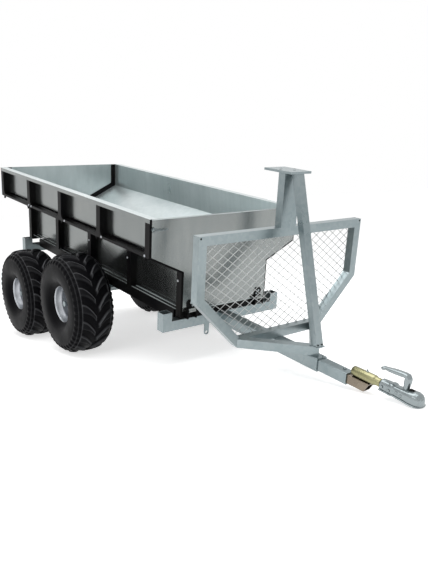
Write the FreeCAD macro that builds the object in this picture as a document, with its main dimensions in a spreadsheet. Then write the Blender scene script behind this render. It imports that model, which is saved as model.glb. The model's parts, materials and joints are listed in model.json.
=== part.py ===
import FreeCAD, Part
import Sketcher
import math
import os

# Timber trailer with a tipping gravel box, a guard and a crane pillar.
# Everything but the bogies is drawn in the trailer's own level frame:
# X forward from the box's front plane, Y to the left, Z up from the main beam's top face.
# The parked trailer leans nose down on its coupling, and placements turn those pieces by that angle.

doc = FreeCAD.newDocument("timber_trailer")
sheet = doc.addObject("Spreadsheet::Sheet", "sizes")

SIZES = {
    # cargo box, outside of its black frame
    "box_length": 1920.0,
    "box_half": 455.0,
    "well_half": 271.0,
    "box_top": 511.0,
    "shelf_outer": 326.0,
    "shelf_inner": 236.0,
    "sheet_gauge": 2.0,
    "rib_depth": 40.0,
    "rib_width": 40.0,
    "rim_lip": 20.0,
    "rail_bottom": -15.0,
    "subframe_bottom": 5.0,
    "subframe_height": 32.0,
    "strap_height": 13.0,
    "bay_one": 482.0,
    "bay_two": 475.0,
    "bay_three": 463.0,
    "rear_frame_width": 74.0,
    "end_gap": 1.0,
    "gate_inset": 10.0,
    "gate_gauge": 3.0,
    "gate_hinge_height": 45.0,
    "gate_floor_gap": 4.0,
    "gate_pin": 12.0,
    "hinge_ear": 8.0,
    "gate_lug_offset": 216.0,
    # tipping pivot
    "tip_back": 1868.0,
    "tip_height": -11.0,
    "tip_eye": 30.0,
    "saddle_half": 11.0,
    "tip_pin_size": 20.0,
    "tip_tube_size": 32.0,
    "tip_lug_offset": 200.0,
    "tip_lug_plate": 12.0,
    "pad_thick": 4.7,
    # chassis
    "beam_size": 60.0,
    "beam_wall": 4.5,
    "beam_front": 690.0,
    "beam_rear": 1846.0,
    "extension_size": 50.0,
    "extension_wall": 4.5,
    "extension_front": 850.0,
    "extension_rear": 420.0,
    "stub_size": 40.0,
    "stub_wall": 5.0,
    "stub_front": 962.0,
    "stub_rear": 640.0,
    "stub_slant": 24.0,
    "tube_round": 5.0,
    "bunk_size": 50.0,
    "bunk_half": 318.0,
    "bunk_rear": 1750.0,
    "pocket_size": 52.0,
    "pocket_wall": 4.0,
    "pocket_top": 44.0,
    # bogies and wheels
    "pivot_back": 1091.0,
    "pivot_drop": 167.0,
    "axle_spacing": 678.0,
    "beam_offset": 307.0,
    "bogie_width": 50.0,
    "bogie_height": 80.0,
    "bogie_end": 58.0,
    "pivot_size": 45.0,
    "hanger_plate": 14.0,
    "hanger_length": 110.0,
    "cross_tube": 60.0,
    "wheel_offset": 464.0,
    "tyre_size": 559.0,
    "tyre_width": 240.0,
    "tyre_wall": 13.0,
    "rim_width": 178.0,
    "rim_seat": 203.0,
    "rim_flange": 226.0,
    "rim_wall": 3.5,
    "hub_size": 62.0,
    "hub_length": 118.0,
    "spindle_size": 30.0,
    "running_gap": 0.05,
    # guard and crane pillar
    "guard_front": 417.0,
    "guard_tube": 40.0,
    "guard_half": 483.0,
    "guard_foot_half": 252.0,
    "guard_shoulder": 236.0,
    "guard_top": 520.0,
    "mesh_gauge": 3.0,
    "brace_inner": 655.0,
    "rear_leg_width": 90.0,
    "front_leg_depth": 33.0,
    "front_leg_foot": 655.0,
    "front_leg_top": 447.0,
    "plate_top": 767.0,
    "plate_thick": 10.0,
    "plate_rear": 298.0,
    "plate_length": 168.0,
    "plate_width": 120.0,
    "plate_hole_circle": 84.0,
    "plate_hole": 13.0,
    "foot_plate": 5.0,
    # coupling
    "swivel_size": 42.0,
    "swivel_bore": 26.0,
    "swivel_rear": 864.0,
    "swivel_front": 976.0,
    "swivel_height": 11.0,
    "ball_ahead": 1172.0,
    "ball_size": 50.0,
    "dome_wall": 5.0,
    "socket_drop": 20.0,
    "clamp_size": 54.0,
    "clamp_front": 1105.0,
    "handle_width": 30.0,
}

for row, (alias, value) in enumerate(SIZES.items(), start=1):
    sheet.set("A%d" % row, alias)
    sheet.set("B%d" % row, "%g" % value)
    sheet.setAlias("B%d" % row, alias)
doc.recompute()


def bound(text):
    """The expression with every size's name pointed at the sheet."""
    words = []
    word = ""
    for letter in text + " ":
        if letter.isalnum() or letter == "_":
            word += letter
            continue
        words.append("sizes." + word if word in SIZES else word)
        word = ""
        words.append(letter)
    return "".join(words).strip()


def number(text):
    """The expression's value with the sizes as they are now."""
    found = sheet.evalExpression(bound(str(text)))
    return float(getattr(found, "Value", found))


# How far the offset face of the sloping shelf lies above the face it is measured from.
SHELF_SLOPE = "((shelf_outer - shelf_inner) / (box_half - well_half))"
SHELF_STRETCH = "sqrt(1 + %s ^ 2)" % SHELF_SLOPE


def shelf_at(across, inward):
    """Height of the shelf at a distance from the centre line, with its face set in by a thickness."""
    line = "shelf_outer - (box_half - (%s)) * %s" % (across, SHELF_SLOPE)
    return "%s + (%s) * %s" % (line, inward, SHELF_STRETCH)


# ---- the angle at which the trailer parks on its coupling ----

reach = number("ball_ahead + ball_size / 2 + dome_wall + pivot_back")
rise = number("pivot_drop + swivel_height - socket_drop")
wheel_radius = number("tyre_size / 2")
PITCH = math.degrees(math.asin(wheel_radius / math.hypot(reach, rise)) + math.atan2(rise, reach))

nodes = []
leaning = []


def keep(thing, label, parked=True):
    """Name a finished sub-part, and note whether it leans with the parked frame."""
    thing.Label = label
    nodes.append(thing)
    if parked:
        leaning.append(thing)
    return thing


def plane_of(body, role):
    for feature in body.Origin.OriginFeatures:
        if feature.Role == role:
            return feature
    raise ValueError(role)


def outline(body, name, role, loops, offset="0"):
    """A sketch of closed polygons, each corner held by two bound distances."""
    sketch = body.newObject("Sketcher::SketchObject", name)
    sketch.AttachmentSupport = (plane_of(body, role), [""])
    sketch.MapMode = "FlatFace"
    sketch.setExpression("AttachmentOffset.Base.z", bound(offset))
    for corners in loops:
        first = sketch.GeometryCount
        spots = [FreeCAD.Vector(number(a), number(b), 0) for a, b in corners]
        for index, spot in enumerate(spots):
            following = spots[(index + 1) % len(spots)]
            sketch.addGeometry(Part.LineSegment(spot, following), False)
        for index, (across, along) in enumerate(corners):
            edge = first + index
            following = first + (index + 1) % len(corners)
            sketch.addConstraint(Sketcher.Constraint("Coincident", edge, 2, following, 1))
            for kind, text in (("DistanceX", across), ("DistanceY", along)):
                held = sketch.addConstraint(Sketcher.Constraint(kind, -1, 1, edge, 1, number(text)))
                sketch.setExpression("Constraints[%d]" % held, bound(str(text)))
    return sketch


def new_body(name):
    return doc.addObject("PartDesign::Body", name)


def prism(name, role, loops, start, length, body=None):
    """A body padded from polygons on one of its planes."""
    body = body or new_body(name)
    sketch = outline(body, name + "_outline", role, loops, start)
    pad = body.newObject("PartDesign::Pad", name + "_pad")
    pad.Profile = sketch
    pad.setExpression("Length", bound(length))
    doc.recompute()
    return body


def bore(body, name, role, centre, diameter, start, length, reversed_way=False):
    """A round pocket cut along a plane's normal."""
    sketch = body.newObject("Sketcher::SketchObject", name)
    sketch.AttachmentSupport = (plane_of(body, role), [""])
    sketch.MapMode = "FlatFace"
    sketch.setExpression("AttachmentOffset.Base.z", bound(start))
    spot = FreeCAD.Vector(number(centre[0]), number(centre[1]), 0)
    ring = sketch.addGeometry(Part.Circle(spot, FreeCAD.Vector(0, 0, 1), number(diameter) / 2), False)
    for kind, text in (("DistanceX", centre[0]), ("DistanceY", centre[1])):
        held = sketch.addConstraint(Sketcher.Constraint(kind, -1, 1, ring, 3, number(text)))
        sketch.setExpression("Constraints[%d]" % held, bound(str(text)))
    held = sketch.addConstraint(Sketcher.Constraint("Diameter", ring, number(diameter)))
    sketch.setExpression("Constraints[%d]" % held, bound(diameter))
    before = body.Shape.Volume
    pocket = body.newObject("PartDesign::Pocket", name + "_cut")
    pocket.Profile = sketch
    pocket.setExpression("Length", bound(length))
    pocket.Reversed = reversed_way
    doc.recompute()
    if body.Shape.Volume >= before:
        raise RuntimeError(name + " cuts nothing")
    return pocket


def soften(body, name, direction, corners, radius):
    """Round the long edges that run along a direction through the given corners."""
    picked = []
    base = body.Tip
    shape = base.Shape
    wanted = [tuple(number(value) for value in corner) for corner in corners]
    axis = {"X": 0, "Y": 1, "Z": 2}[direction]
    others = [index for index in range(3) if index != axis]
    for index, edge in enumerate(shape.Edges, start=1):
        ends = [vertex.Point for vertex in edge.Vertexes]
        if len(ends) != 2 or any(abs(ends[0][o] - ends[1][o]) > 1e-6 for o in others):
            continue
        if any(all(abs(ends[0][o] - want[k]) < 1e-3 for k, o in enumerate(others)) for want in wanted):
            picked.append("Edge%d" % index)
    fillet = body.newObject("PartDesign::Fillet", name)
    fillet.Base = (base, picked)
    fillet.setExpression("Radius", bound(radius))
    doc.recompute()
    return fillet


def rectangle(a0, a1, b0, b1):
    return [(a0, b0), (a1, b0), (a1, b1), (a0, b1)]


def block(name, x0, x1, y0, y1, z0, z1):
    """A plain box between six bound faces."""
    box = doc.addObject("Part::Box", name)
    box.setExpression("Length", bound("(%s) - (%s)" % (x1, x0)))
    box.setExpression("Width", bound("(%s) - (%s)" % (y1, y0)))
    box.setExpression("Height", bound("(%s) - (%s)" % (z1, z0)))
    box.setExpression("Placement.Base.x", bound(x0))
    box.setExpression("Placement.Base.y", bound(y0))
    box.setExpression("Placement.Base.z", bound(z0))
    return box


def fused(name, parts):
    joined = doc.addObject("Part::MultiFuse", name)
    joined.Shapes = parts
    joined.Refine = True
    return joined


def cut(name, base, tool):
    result = doc.addObject("Part::Cut", name)
    result.Base = base
    result.Tool = tool
    return result


def rod(name, across, height, along, diameter, length, turned="Y"):
    """A cylinder along Y (or X) from a starting point."""
    bar = doc.addObject("Part::Cylinder", name)
    bar.setExpression("Radius", bound("(%s) / 2" % diameter))
    bar.setExpression("Height", bound(length))
    turn = FreeCAD.Rotation(FreeCAD.Vector(1, 0, 0), -90)
    if turned == "X":
        turn = FreeCAD.Rotation(FreeCAD.Vector(0, 1, 0), 90)
    bar.Placement = FreeCAD.Placement(FreeCAD.Vector(), turn)
    bar.setExpression("Placement.Base.x", bound(across))
    bar.setExpression("Placement.Base.y", bound(along))
    bar.setExpression("Placement.Base.z", bound(height))
    return bar


# ---- chassis ----

def square_tube(name, size, wall, front, rear, top, slant="0"):
    """A hollow square tube along X, centred on the trailer, its top face at the given height."""
    half = "%s / 2" % size
    body = new_body(name)
    loops = [rectangle("-" + half, half, "(%s) - %s" % (top, size), top)]
    inner = "(%s / 2 - %s)" % (size, wall)
    loops.append(rectangle("-" + inner, inner, "(%s) - %s + %s" % (top, size, wall), "(%s) - %s" % (top, wall)))
    prism(name, "YZ_Plane", loops, "-(%s)" % rear, "(%s) + (%s)" % (front, rear), body)
    corners = [("-" + half, "(%s) - %s" % (top, size)), (half, "(%s) - %s" % (top, size)),
               ("-" + half, top), (half, top)]
    soften(body, name + "_round", "X", corners, "tube_round * %s / beam_size" % size)
    if slant != "0":
        end = outline(body, name + "_end", "XZ_Plane", [[
            ("%s - %s" % (front, slant), "(%s) - %s - 1" % (top, size)),
            ("%s + 1" % front, "(%s) - %s - 1" % (top, size)),
            ("%s + 1" % front, "%s + %s / %s" % (top, slant, size)),
            ("%s" % front, top)]], "-" + size)
        trim = body.newObject("PartDesign::Pocket", name + "_trim")
        trim.Profile = end
        trim.setExpression("Length", bound("2 * " + size))
        before = body.Shape.Volume
        doc.recompute()
        if body.Shape.Volume >= before:
            trim.Reversed = True
            doc.recompute()
    return body


keep(square_tube("main_beam", "beam_size", "beam_wall", "beam_front", "beam_rear", "0"), "main_beam")
EXTENSION_TOP = "-(beam_size - extension_size) / 2"
STUB_TOP = "-(beam_size - stub_size) / 2"
keep(square_tube("drawbar_extension", "extension_size", "extension_wall", "extension_front",
                 "-extension_rear", EXTENSION_TOP), "drawbar_extension")
keep(square_tube("coupling_stub", "stub_size", "stub_wall", "stub_front", "-stub_rear", STUB_TOP, "stub_slant"),
     "coupling_stub")


def bunk(name, front):
    """Cross beam in two halves welded to the sides of the main beam."""
    halves = []
    for side, y0, y1 in (("left", "beam_size / 2", "bunk_half"), ("right", "-bunk_half", "-beam_size / 2")):
        halves.append(block(name + "_" + side, "%s - bunk_size" % front, front, y0, y1, "-bunk_size", "0"))
    return fused(name, halves)


keep(bunk("front_bunk", "0"), "front_bunk")
keep(bunk("rear_bunk", "-bunk_rear"), "rear_bunk")


def stake_pocket(name, front, side):
    """An upright square pocket, open at both ends, on the end of a bunk."""
    near = "bunk_half" if side > 0 else "-bunk_half - pocket_size"
    far = "bunk_half + pocket_size" if side > 0 else "-bunk_half"
    loops = [rectangle("%s - bunk_size" % front, front, near, far),
             rectangle("%s - bunk_size + pocket_wall" % front, "%s - pocket_wall" % front,
                       "%s + pocket_wall" % near, "%s - pocket_wall" % far)]
    return prism(name, "XY_Plane", loops, "-bunk_size", "bunk_size + pocket_top")


for end, front in (("front", "0"), ("rear", "-bunk_rear")):
    for word, side in (("left", 1), ("right", -1)):
        title = "stake_pocket_%s_%s" % (end, word)
        keep(stake_pocket(title, front, side), title)

PIVOT_X = "-pivot_back"
PIVOT_Z = "-pivot_drop"
keep(block("axle_cross_tube", PIVOT_X + " - cross_tube / 2", PIVOT_X + " + cross_tube / 2",
           "-(beam_offset - bogie_width / 2 - 20)", "beam_offset - bogie_width / 2 - 20",
           "-beam_size - cross_tube", "-beam_size"), "axle_cross_tube")


def hangers():
    """Two plates that hang from the cross tube's ends and carry the pivot bar."""
    plates = []
    bottom = PIVOT_Z + " - pivot_size * 0.9"
    for word, side in (("left", 1), ("right", -1)):
        outer = "%d * (beam_offset - bogie_width / 2 - 6)" % side
        inner = "%d * (beam_offset - bogie_width / 2 - 6 - hanger_plate)" % side
        low, high = (inner, outer) if side > 0 else (outer, inner)
        plates.append(block("hanger_" + word, PIVOT_X + " - hanger_length / 2", PIVOT_X + " + hanger_length / 2",
                            low, high, bottom, "-beam_size"))
    plain = fused("hanger_plates", plates)
    hole = rod("hanger_hole", PIVOT_X, PIVOT_Z, "-beam_offset", "pivot_size", "2 * beam_offset")
    return cut("pivot_hangers", plain, hole)


# The cross tube ends against the hangers' inner faces.
keep(hangers(), "pivot_hangers")
keep(rod("bogie_pivot", PIVOT_X, PIVOT_Z, "-beam_offset - bogie_width / 2 - 4", "pivot_size",
         "2 * (beam_offset + bogie_width / 2 + 4)"), "bogie_pivot")

# ---- guard, braces and crane pillar ----


def hexagon(inset, miter_top, miter_side, miter_foot):
    """The guard's outline set in by a tube's width, with its corners on the mitres."""
    half = "(guard_half - %s)" % inset
    top = "(guard_top - %s)" % inset
    foot = "(0 + %s)" % inset
    shoulder = "(guard_shoulder + %s)" % miter_side
    foot_half = "(guard_foot_half - %s)" % miter_foot
    return [("-" + foot_half, foot), (foot_half, foot), (half, shoulder), (half, top),
            ("-" + half, top), ("-" + half, shoulder)]


GUARD_RUN = "(guard_half - guard_foot_half)"
GUARD_SPAN = "sqrt(guard_shoulder ^ 2 + %s ^ 2)" % GUARD_RUN
# Along an upright the mitre climbs by t * (span - run... ) of the sloping side's geometry.
SHOULDER_SHIFT = "(guard_tube * (%s - guard_shoulder) / %s)" % (GUARD_SPAN, GUARD_RUN)
FOOT_SHIFT = "(guard_tube * (%s - %s) / guard_shoulder)" % (GUARD_SPAN, GUARD_RUN)


def guard_frame():
    loops = [hexagon("0", "0", "0", "0"),
             hexagon("guard_tube", "0", SHOULDER_SHIFT, FOOT_SHIFT)]
    return prism("guard_frame", "YZ_Plane", loops, "guard_front - guard_tube", "guard_tube")


def guard_mesh():
    loops = [hexagon("guard_tube", "0", SHOULDER_SHIFT, FOOT_SHIFT)]
    return prism("guard_mesh", "YZ_Plane", loops, "guard_front - guard_tube + 2", "mesh_gauge")


keep(guard_frame(), "guard_frame")
keep(guard_mesh(), "guard_mesh")


def guard_brace(name, side):
    """A flat-lying tube from the guard's bottom corner to the middle of the drawbar."""
    wide = "(guard_tube * sqrt(2))"
    corners = [("guard_front", "%d * (guard_foot_half - %s)" % (side, wide)),
               ("guard_front", "%d * guard_foot_half" % side),
               ("guard_front + guard_foot_half", "0"),
               ("guard_front + guard_foot_half - %s" % wide, "0")]
    return prism(name, "XY_Plane", [corners], "0", "guard_tube")


keep(guard_brace("guard_brace_left", 1), "guard_brace_left")
keep(guard_brace("guard_brace_right", -1), "guard_brace_right")
keep(block("pillar_rear_leg", "guard_front - guard_tube", "guard_front", "-rear_leg_width / 2", "rear_leg_width / 2",
           "guard_top", "plate_top - plate_thick"), "pillar_rear_leg")


def front_leg():
    """The slanting leg from the drawbar up to the crane plate."""
    low = "(guard_tube + foot_plate)"
    high = "plate_top - plate_thick"
    half = "front_leg_depth / 2"
    corners = [("front_leg_foot - " + half, low), ("front_leg_foot + " + half, low),
               ("front_leg_top + " + half, high), ("front_leg_top - " + half, high)]
    return prism("pillar_front_leg", "XZ_Plane", [corners], "-guard_tube / 2", "guard_tube")


keep(front_leg(), "pillar_front_leg")
keep(block("leg_foot_plate", "front_leg_foot - 22", "front_leg_foot + 22", "-24", "24", "guard_tube",
           "guard_tube + foot_plate"), "leg_foot_plate")


def crane_plate():
    body = prism("crane_plate", "XY_Plane",
                 [rectangle("plate_rear", "plate_rear + plate_length", "-plate_width / 2", "plate_width / 2")],
                 "plate_top - plate_thick", "plate_thick")
    for index, (a, b) in enumerate(((1, 0), (0, 1), (-1, 0), (0, -1))):
        spot = ("plate_rear + plate_length / 2 + %g * plate_hole_circle / 2" % a, "%g * plate_hole_circle / 2" % b)
        bore(body, "plate_hole_%d" % index, "XY_Plane", spot, "plate_hole", "plate_top", "plate_thick")
    return body


keep(crane_plate(), "crane_plate")

# ---- tipping pivot and rest pads ----


def tip_lugs():
    """Two plates off the rear bunk with a round eye each, low behind the beam, for the pivot pin."""
    plates = []
    for word, side in (("left", 1), ("right", -1)):
        inner = "%d * tip_lug_offset" % side
        outer = "%d * (tip_lug_offset + tip_lug_plate)" % side
        low, high = (inner, outer) if side > 0 else (outer, inner)
        plates.append(block("tip_lug_" + word, "-tip_back", "-bunk_rear - bunk_size", low, high,
                            "tip_height - tip_eye / 2", "0"))
        plates.append(rod("tip_eye_" + word, "-tip_back", "tip_height", low, "tip_eye", "tip_lug_plate"))
    plain = fused("tip_lug_plates", plates)
    hole = rod("tip_lug_hole", "-tip_back", "tip_height", "-tip_lug_offset - 20", "tip_pin_size",
               "2 * (tip_lug_offset + 20)")
    return cut("tip_lugs", plain, hole)


keep(tip_lugs(), "tip_lugs")
keep(rod("tip_pin", "-tip_back", "tip_height", "-(tip_lug_offset + tip_lug_plate + 6)", "tip_pin_size",
         "2 * (tip_lug_offset + tip_lug_plate + 6)"), "tip_pin")
pads = [block("pad_" + word, "-38", "-8", y0, y1, "0", "pad_thick")
        for word, y0, y1 in (("left", "150", "210"), ("right", "-210", "-150"))]
keep(fused("rest_pads", pads), "rest_pads")

# ---- cargo box ----

RIB_STARTS = ["-rib_width", "-rib_width - bay_one", "-rib_width - bay_one - bay_two",
              "-rib_width - bay_one - bay_two - bay_three", "-box_length"]


def section(side, outer, inner, low, high):
    """Cross-section of the box's side between two depths from its outer face."""
    def at(depth, top):
        across = "(box_half - (%s))" % depth
        well = "(well_half - (%s))" % depth
        return [(across, top), (across, shelf_at(across, depth)), (well, shelf_at(well, depth)), (well, low)]
    corners = at(outer, high) + at(inner, high)[::-1]
    return [("%d * (%s)" % (side, across), height) for across, height in corners]


def side_frame(name, side):
    """Ribs bent to the box's section, the straps between them and the bottom rail."""
    ribs = []
    for index, start in enumerate(RIB_STARTS):
        title = "%s_rib_%d" % (name, index)
        loops = [section(side, "0", "rib_depth", "subframe_bottom", "box_top - sheet_gauge")]
        ribs.append(prism(title, "YZ_Plane", loops, start, "rib_width"))
    low, high = ("well_half - rib_depth", "well_half") if side > 0 else ("-well_half", "-well_half + rib_depth")
    ribs.append(block(name + "_rail", "-bunk_rear + 10", "-bunk_size - 8", low, high, "rail_bottom",
                      "subframe_bottom + subframe_height"))
    strap = [("%d * box_half" % side, "shelf_outer"),
             ("%d * box_half" % side, "shelf_outer + strap_height"),
             ("%d * (box_half - rib_depth)" % side, "shelf_outer + strap_height"),
             ("%d * (box_half - rib_depth)" % side, shelf_at("box_half - rib_depth", "0"))]
    ribs.append(prism(name + "_strap", "YZ_Plane", [strap], "-box_length + rib_width / 2",
                      "box_length - rib_width"))
    return fused(name, ribs)


for word, side in (("left", 1), ("right", -1)):
    keep(side_frame("side_frame_" + word, side), "side_frame_" + word)


def side_sheet(name, side):
    """Folded sheet: well wall, shelf, upper wall, and a rim folded out over the ribs."""
    in_upper = "(box_half - rib_depth - sheet_gauge)"
    in_well = "(well_half - rib_depth - sheet_gauge)"
    out_upper = "(box_half - rib_depth)"
    out_well = "(well_half - rib_depth)"
    floor = "subframe_bottom + subframe_height"
    corners = [("box_half + sheet_gauge", "box_top - rim_lip"), ("box_half + sheet_gauge", "box_top"),
               (in_upper, "box_top"), (in_upper, shelf_at(in_upper, "rib_depth + sheet_gauge")),
               (in_well, shelf_at(in_well, "rib_depth + sheet_gauge")), (in_well, floor),
               (out_well, floor), (out_well, shelf_at(out_well, "rib_depth")),
               (out_upper, shelf_at(out_upper, "rib_depth")), (out_upper, "box_top - sheet_gauge"),
               ("box_half", "box_top - sheet_gauge"), ("box_half", "box_top - rim_lip")]
    loop = [("%d * (%s)" % (side, a), b) for a, b in corners]
    return prism(name, "YZ_Plane", [loop], "-box_length", "box_length")


for word, side in (("left", 1), ("right", -1)):
    keep(side_sheet("side_sheet_" + word, side), "side_sheet_" + word)

FLOOR_HALF = "(well_half - rib_depth - sheet_gauge)"
keep(block("floor_sheet", "-box_length", "0", "-" + FLOOR_HALF, FLOOR_HALF, "subframe_bottom + subframe_height",
           "subframe_bottom + subframe_height + sheet_gauge"), "floor_sheet")


def subframe():
    """Cross beams under the floor, one at each rib, between the side frames."""
    half = "(well_half - rib_depth)"
    beams = [block("cross_%d" % index, start, start + " + rib_width", "-" + half, half, "subframe_bottom",
                   "subframe_bottom + subframe_height") for index, start in enumerate(RIB_STARTS)]
    spine = [block("spine_" + word, "-box_length", "0", y0, y1, "subframe_bottom", "subframe_bottom + subframe_height")
             for word, y0, y1 in (("left", "90", "120"), ("right", "-120", "-90"))]
    return fused("subframe_beams", beams + spine)


def tip_tube(base):
    """The pivot tube hung under the spines on two saddle blocks, bored for the pivot pin."""
    tube = rod("tip_tube_outer", "-tip_back", "tip_height", "-tip_lug_offset + 1", "tip_tube_size",
               "2 * (tip_lug_offset - 1)")
    saddles = [block("saddle_" + word, "-tip_back - saddle_half", "-tip_back + saddle_half", y0, y1,
                     "tip_height", "subframe_bottom")
               for word, y0, y1 in (("left", "90", "120"), ("right", "-120", "-90"))]
    hole = rod("tip_tube_hole", "-tip_back", "tip_height", "-tip_lug_offset - 1", "tip_pin_size + 2 * running_gap",
               "2 * (tip_lug_offset + 1)")
    return cut("box_subframe_bored", fused("box_subframe_tube", [base, tube] + saddles), hole)


keep(tip_tube(subframe()), "box_subframe")


def rear_frame():
    """Black flange inside the rear end, a T-shaped ring that the tailgate closes against."""
    def ring(depth):
        across = "(box_half - (%s))" % depth
        well = "(well_half - (%s))" % depth
        low = "subframe_bottom + subframe_height + sheet_gauge"
        right = [(across, "box_top - sheet_gauge"), (across, shelf_at(across, depth)),
                 (well, shelf_at(well, depth)), (well, low)]
        return right
    outer = ring("rib_depth + sheet_gauge")
    inner = ring("rear_frame_width")
    low = "subframe_bottom + subframe_height + sheet_gauge"
    inner[-1] = (inner[-1][0], low + " + rear_frame_width / 2")
    loop = outer + [("-1 * " + a, b) for a, b in outer[::-1]]
    loop += [("-1 * " + a, b) for a, b in inner] + inner[::-1]
    return prism("rear_frame", "YZ_Plane", [loop], "-box_length", "3")


keep(rear_frame(), "rear_frame")


def gate_outline(inset):
    across = "(box_half - %s)" % inset
    well = "(well_half - %s)" % inset
    right = [(well, "subframe_bottom + subframe_height + sheet_gauge + gate_floor_gap"),
             (well, shelf_at(well, inset)),
             (across, shelf_at(across, inset)), (across, "box_top")]
    return right + [("-1 * " + a, b) for a, b in right[::-1]]


def gate(name, start, thick):
    return prism(name, "YZ_Plane", [gate_outline("gate_inset")], start, thick)


def hinge_barrel(name, x, z, y, length):
    return rod(name, x, z, y, "gate_pin + 10", length)


GATE_HINGE_X = "end_gap + gate_gauge + gate_pin / 2 + 5"
TAIL_HINGE_X = "-box_length - end_gap - gate_gauge - gate_pin / 2 - 5"


def hinged_gate(name, start, hinge_x):
    """A T-shaped sheet with a hinge barrel near each bottom corner."""
    panel = gate(name + "_panel", start, "gate_gauge")
    barrels = [hinge_barrel(name + "_barrel_" + word, hinge_x, "gate_hinge_height", y, "40")
               for word, y in (("left", "gate_lug_offset - 20"), ("right", "-gate_lug_offset - 20"))]
    bores = [rod(name + "_bore_" + word, hinge_x, "gate_hinge_height", y, "gate_pin + 2 * running_gap", "44")
             for word, y in (("left", "gate_lug_offset - 22"), ("right", "-gate_lug_offset - 22"))]
    return cut(name, fused(name + "_joined", [panel] + barrels), fused(name + "_bores", bores))


keep(hinged_gate("front_gate", "end_gap", GATE_HINGE_X), "front_gate")
keep(hinged_gate("tailgate", "-box_length - end_gap - gate_gauge", TAIL_HINGE_X), "tailgate")


def gate_hinges(name, hinge_x, face, outward):
    """Rounded ears each side of a barrel, on feet that reach back to the box's end beam, and the pins."""
    pieces = []
    near, far = ("%s - gate_pin / 2 - 4" % hinge_x, "%s + gate_pin / 2 + 4" % hinge_x)
    foot = (face, far) if outward > 0 else (near, face)
    for word, centre in (("left", "gate_lug_offset"), ("right", "-gate_lug_offset")):
        for which, low in (("a", "%s - 20 - 1 - hinge_ear" % centre), ("b", "%s + 20 + 1" % centre)):
            title = "%s_%s_%s" % (name, word, which)
            pieces.append(block(title + "_foot", foot[0], foot[1], low, low + " + hinge_ear",
                                "subframe_bottom", "subframe_bottom + subframe_height"))
            pieces.append(block(title + "_neck", near, far, low, low + " + hinge_ear",
                                "subframe_bottom", "gate_hinge_height"))
            pieces.append(rod(title + "_eye", hinge_x, "gate_hinge_height", low, "gate_pin + 8", "hinge_ear"))
        pieces.append(rod("%s_%s_pin" % (name, word), hinge_x, "gate_hinge_height", "%s - 34" % centre,
                          "gate_pin", "68"))
    return fused(name, pieces)


keep(gate_hinges("front_gate_hinges", GATE_HINGE_X, "0", 1), "front_gate_hinges")
keep(gate_hinges("tailgate_hinges", TAIL_HINGE_X, "-box_length", -1), "tailgate_hinges")

# ---- coupling ----

keep(cut("swivel_tube", rod("swivel_tube_outer", "swivel_rear", "swivel_height", "0", "swivel_size",
                            "swivel_front - swivel_rear", "X"),
         rod("swivel_tube_bore", "swivel_rear - 1", "swivel_height", "0", "swivel_bore + 2 * running_gap",
             "swivel_front - swivel_rear + 2", "X")), "swivel_tube")


def coupling_head():
    """Swivel shaft, round clamp, neck and ball socket in one piece."""
    shaft = rod("coupling_shaft", "swivel_rear - 8", "swivel_height", "0", "swivel_bore",
                "clamp_front - swivel_rear", "X")
    clamp = rod("coupling_clamp", "swivel_front + 6", "swivel_height", "0", "clamp_size",
                "clamp_front - swivel_front - 6", "X")
    neck = block("coupling_neck", "clamp_front - 60", "ball_ahead + 8", "-clamp_size / 2 + 5", "clamp_size / 2 - 5",
                 "swivel_height - socket_drop + 12", "swivel_height + socket_drop")
    dome = doc.addObject("Part::Sphere", "coupling_dome")
    dome.setExpression("Radius", bound("ball_size / 2 + dome_wall"))
    dome.setExpression("Placement.Base.x", bound("ball_ahead"))
    dome.setExpression("Placement.Base.z", bound("swivel_height"))
    skirt = doc.addObject("Part::Cylinder", "coupling_skirt")
    skirt.setExpression("Radius", bound("ball_size / 2 + dome_wall"))
    skirt.setExpression("Height", bound("socket_drop"))
    skirt.setExpression("Placement.Base.x", bound("ball_ahead"))
    skirt.setExpression("Placement.Base.z", bound("swivel_height - socket_drop"))
    solid = fused("coupling_solid", [shaft, clamp, neck, dome, skirt])
    ball = doc.addObject("Part::Sphere", "coupling_ball_space")
    ball.setExpression("Radius", bound("ball_size / 2"))
    ball.setExpression("Placement.Base.x", bound("ball_ahead"))
    ball.setExpression("Placement.Base.z", bound("swivel_height"))
    mouth = doc.addObject("Part::Cylinder", "coupling_mouth")
    mouth.setExpression("Radius", bound("ball_size / 2"))
    mouth.setExpression("Height", bound("ball_size"))
    mouth.setExpression("Placement.Base.x", bound("ball_ahead"))
    mouth.setExpression("Placement.Base.z", bound("swivel_height - ball_size"))
    under = block("coupling_under", "ball_ahead - 100", "ball_ahead + 100", "-60", "60",
                  "swivel_height - socket_drop - 40", "swivel_height - socket_drop")
    return cut("coupling_head", solid, fused("coupling_spaces", [ball, mouth, under]))


keep(coupling_head(), "coupling_head")


def coupling_handle():
    """Curved grip over the socket, on a short stem."""
    high = "swivel_height + 80"
    corners = [("swivel_front + 28", "swivel_height + 60"), ("swivel_front + 36", "swivel_height + 54"),
               ("swivel_front + 62", high + " - 8"), ("clamp_front + 2", high + " - 12"),
               ("clamp_front + 2", "swivel_height + socket_drop"), ("clamp_front + 30", "swivel_height + socket_drop"),
               ("clamp_front + 30", high + " - 2"), ("swivel_front + 60", high + " + 4")]
    return prism("coupling_handle", "XZ_Plane", [corners], "-handle_width / 2", "handle_width")


keep(coupling_handle(), "coupling_handle")

# ---- bogies and wheels, level with the ground; their origin is the pivot's centre ----

WHEELS = {"front": 1, "rear": -1}


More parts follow.
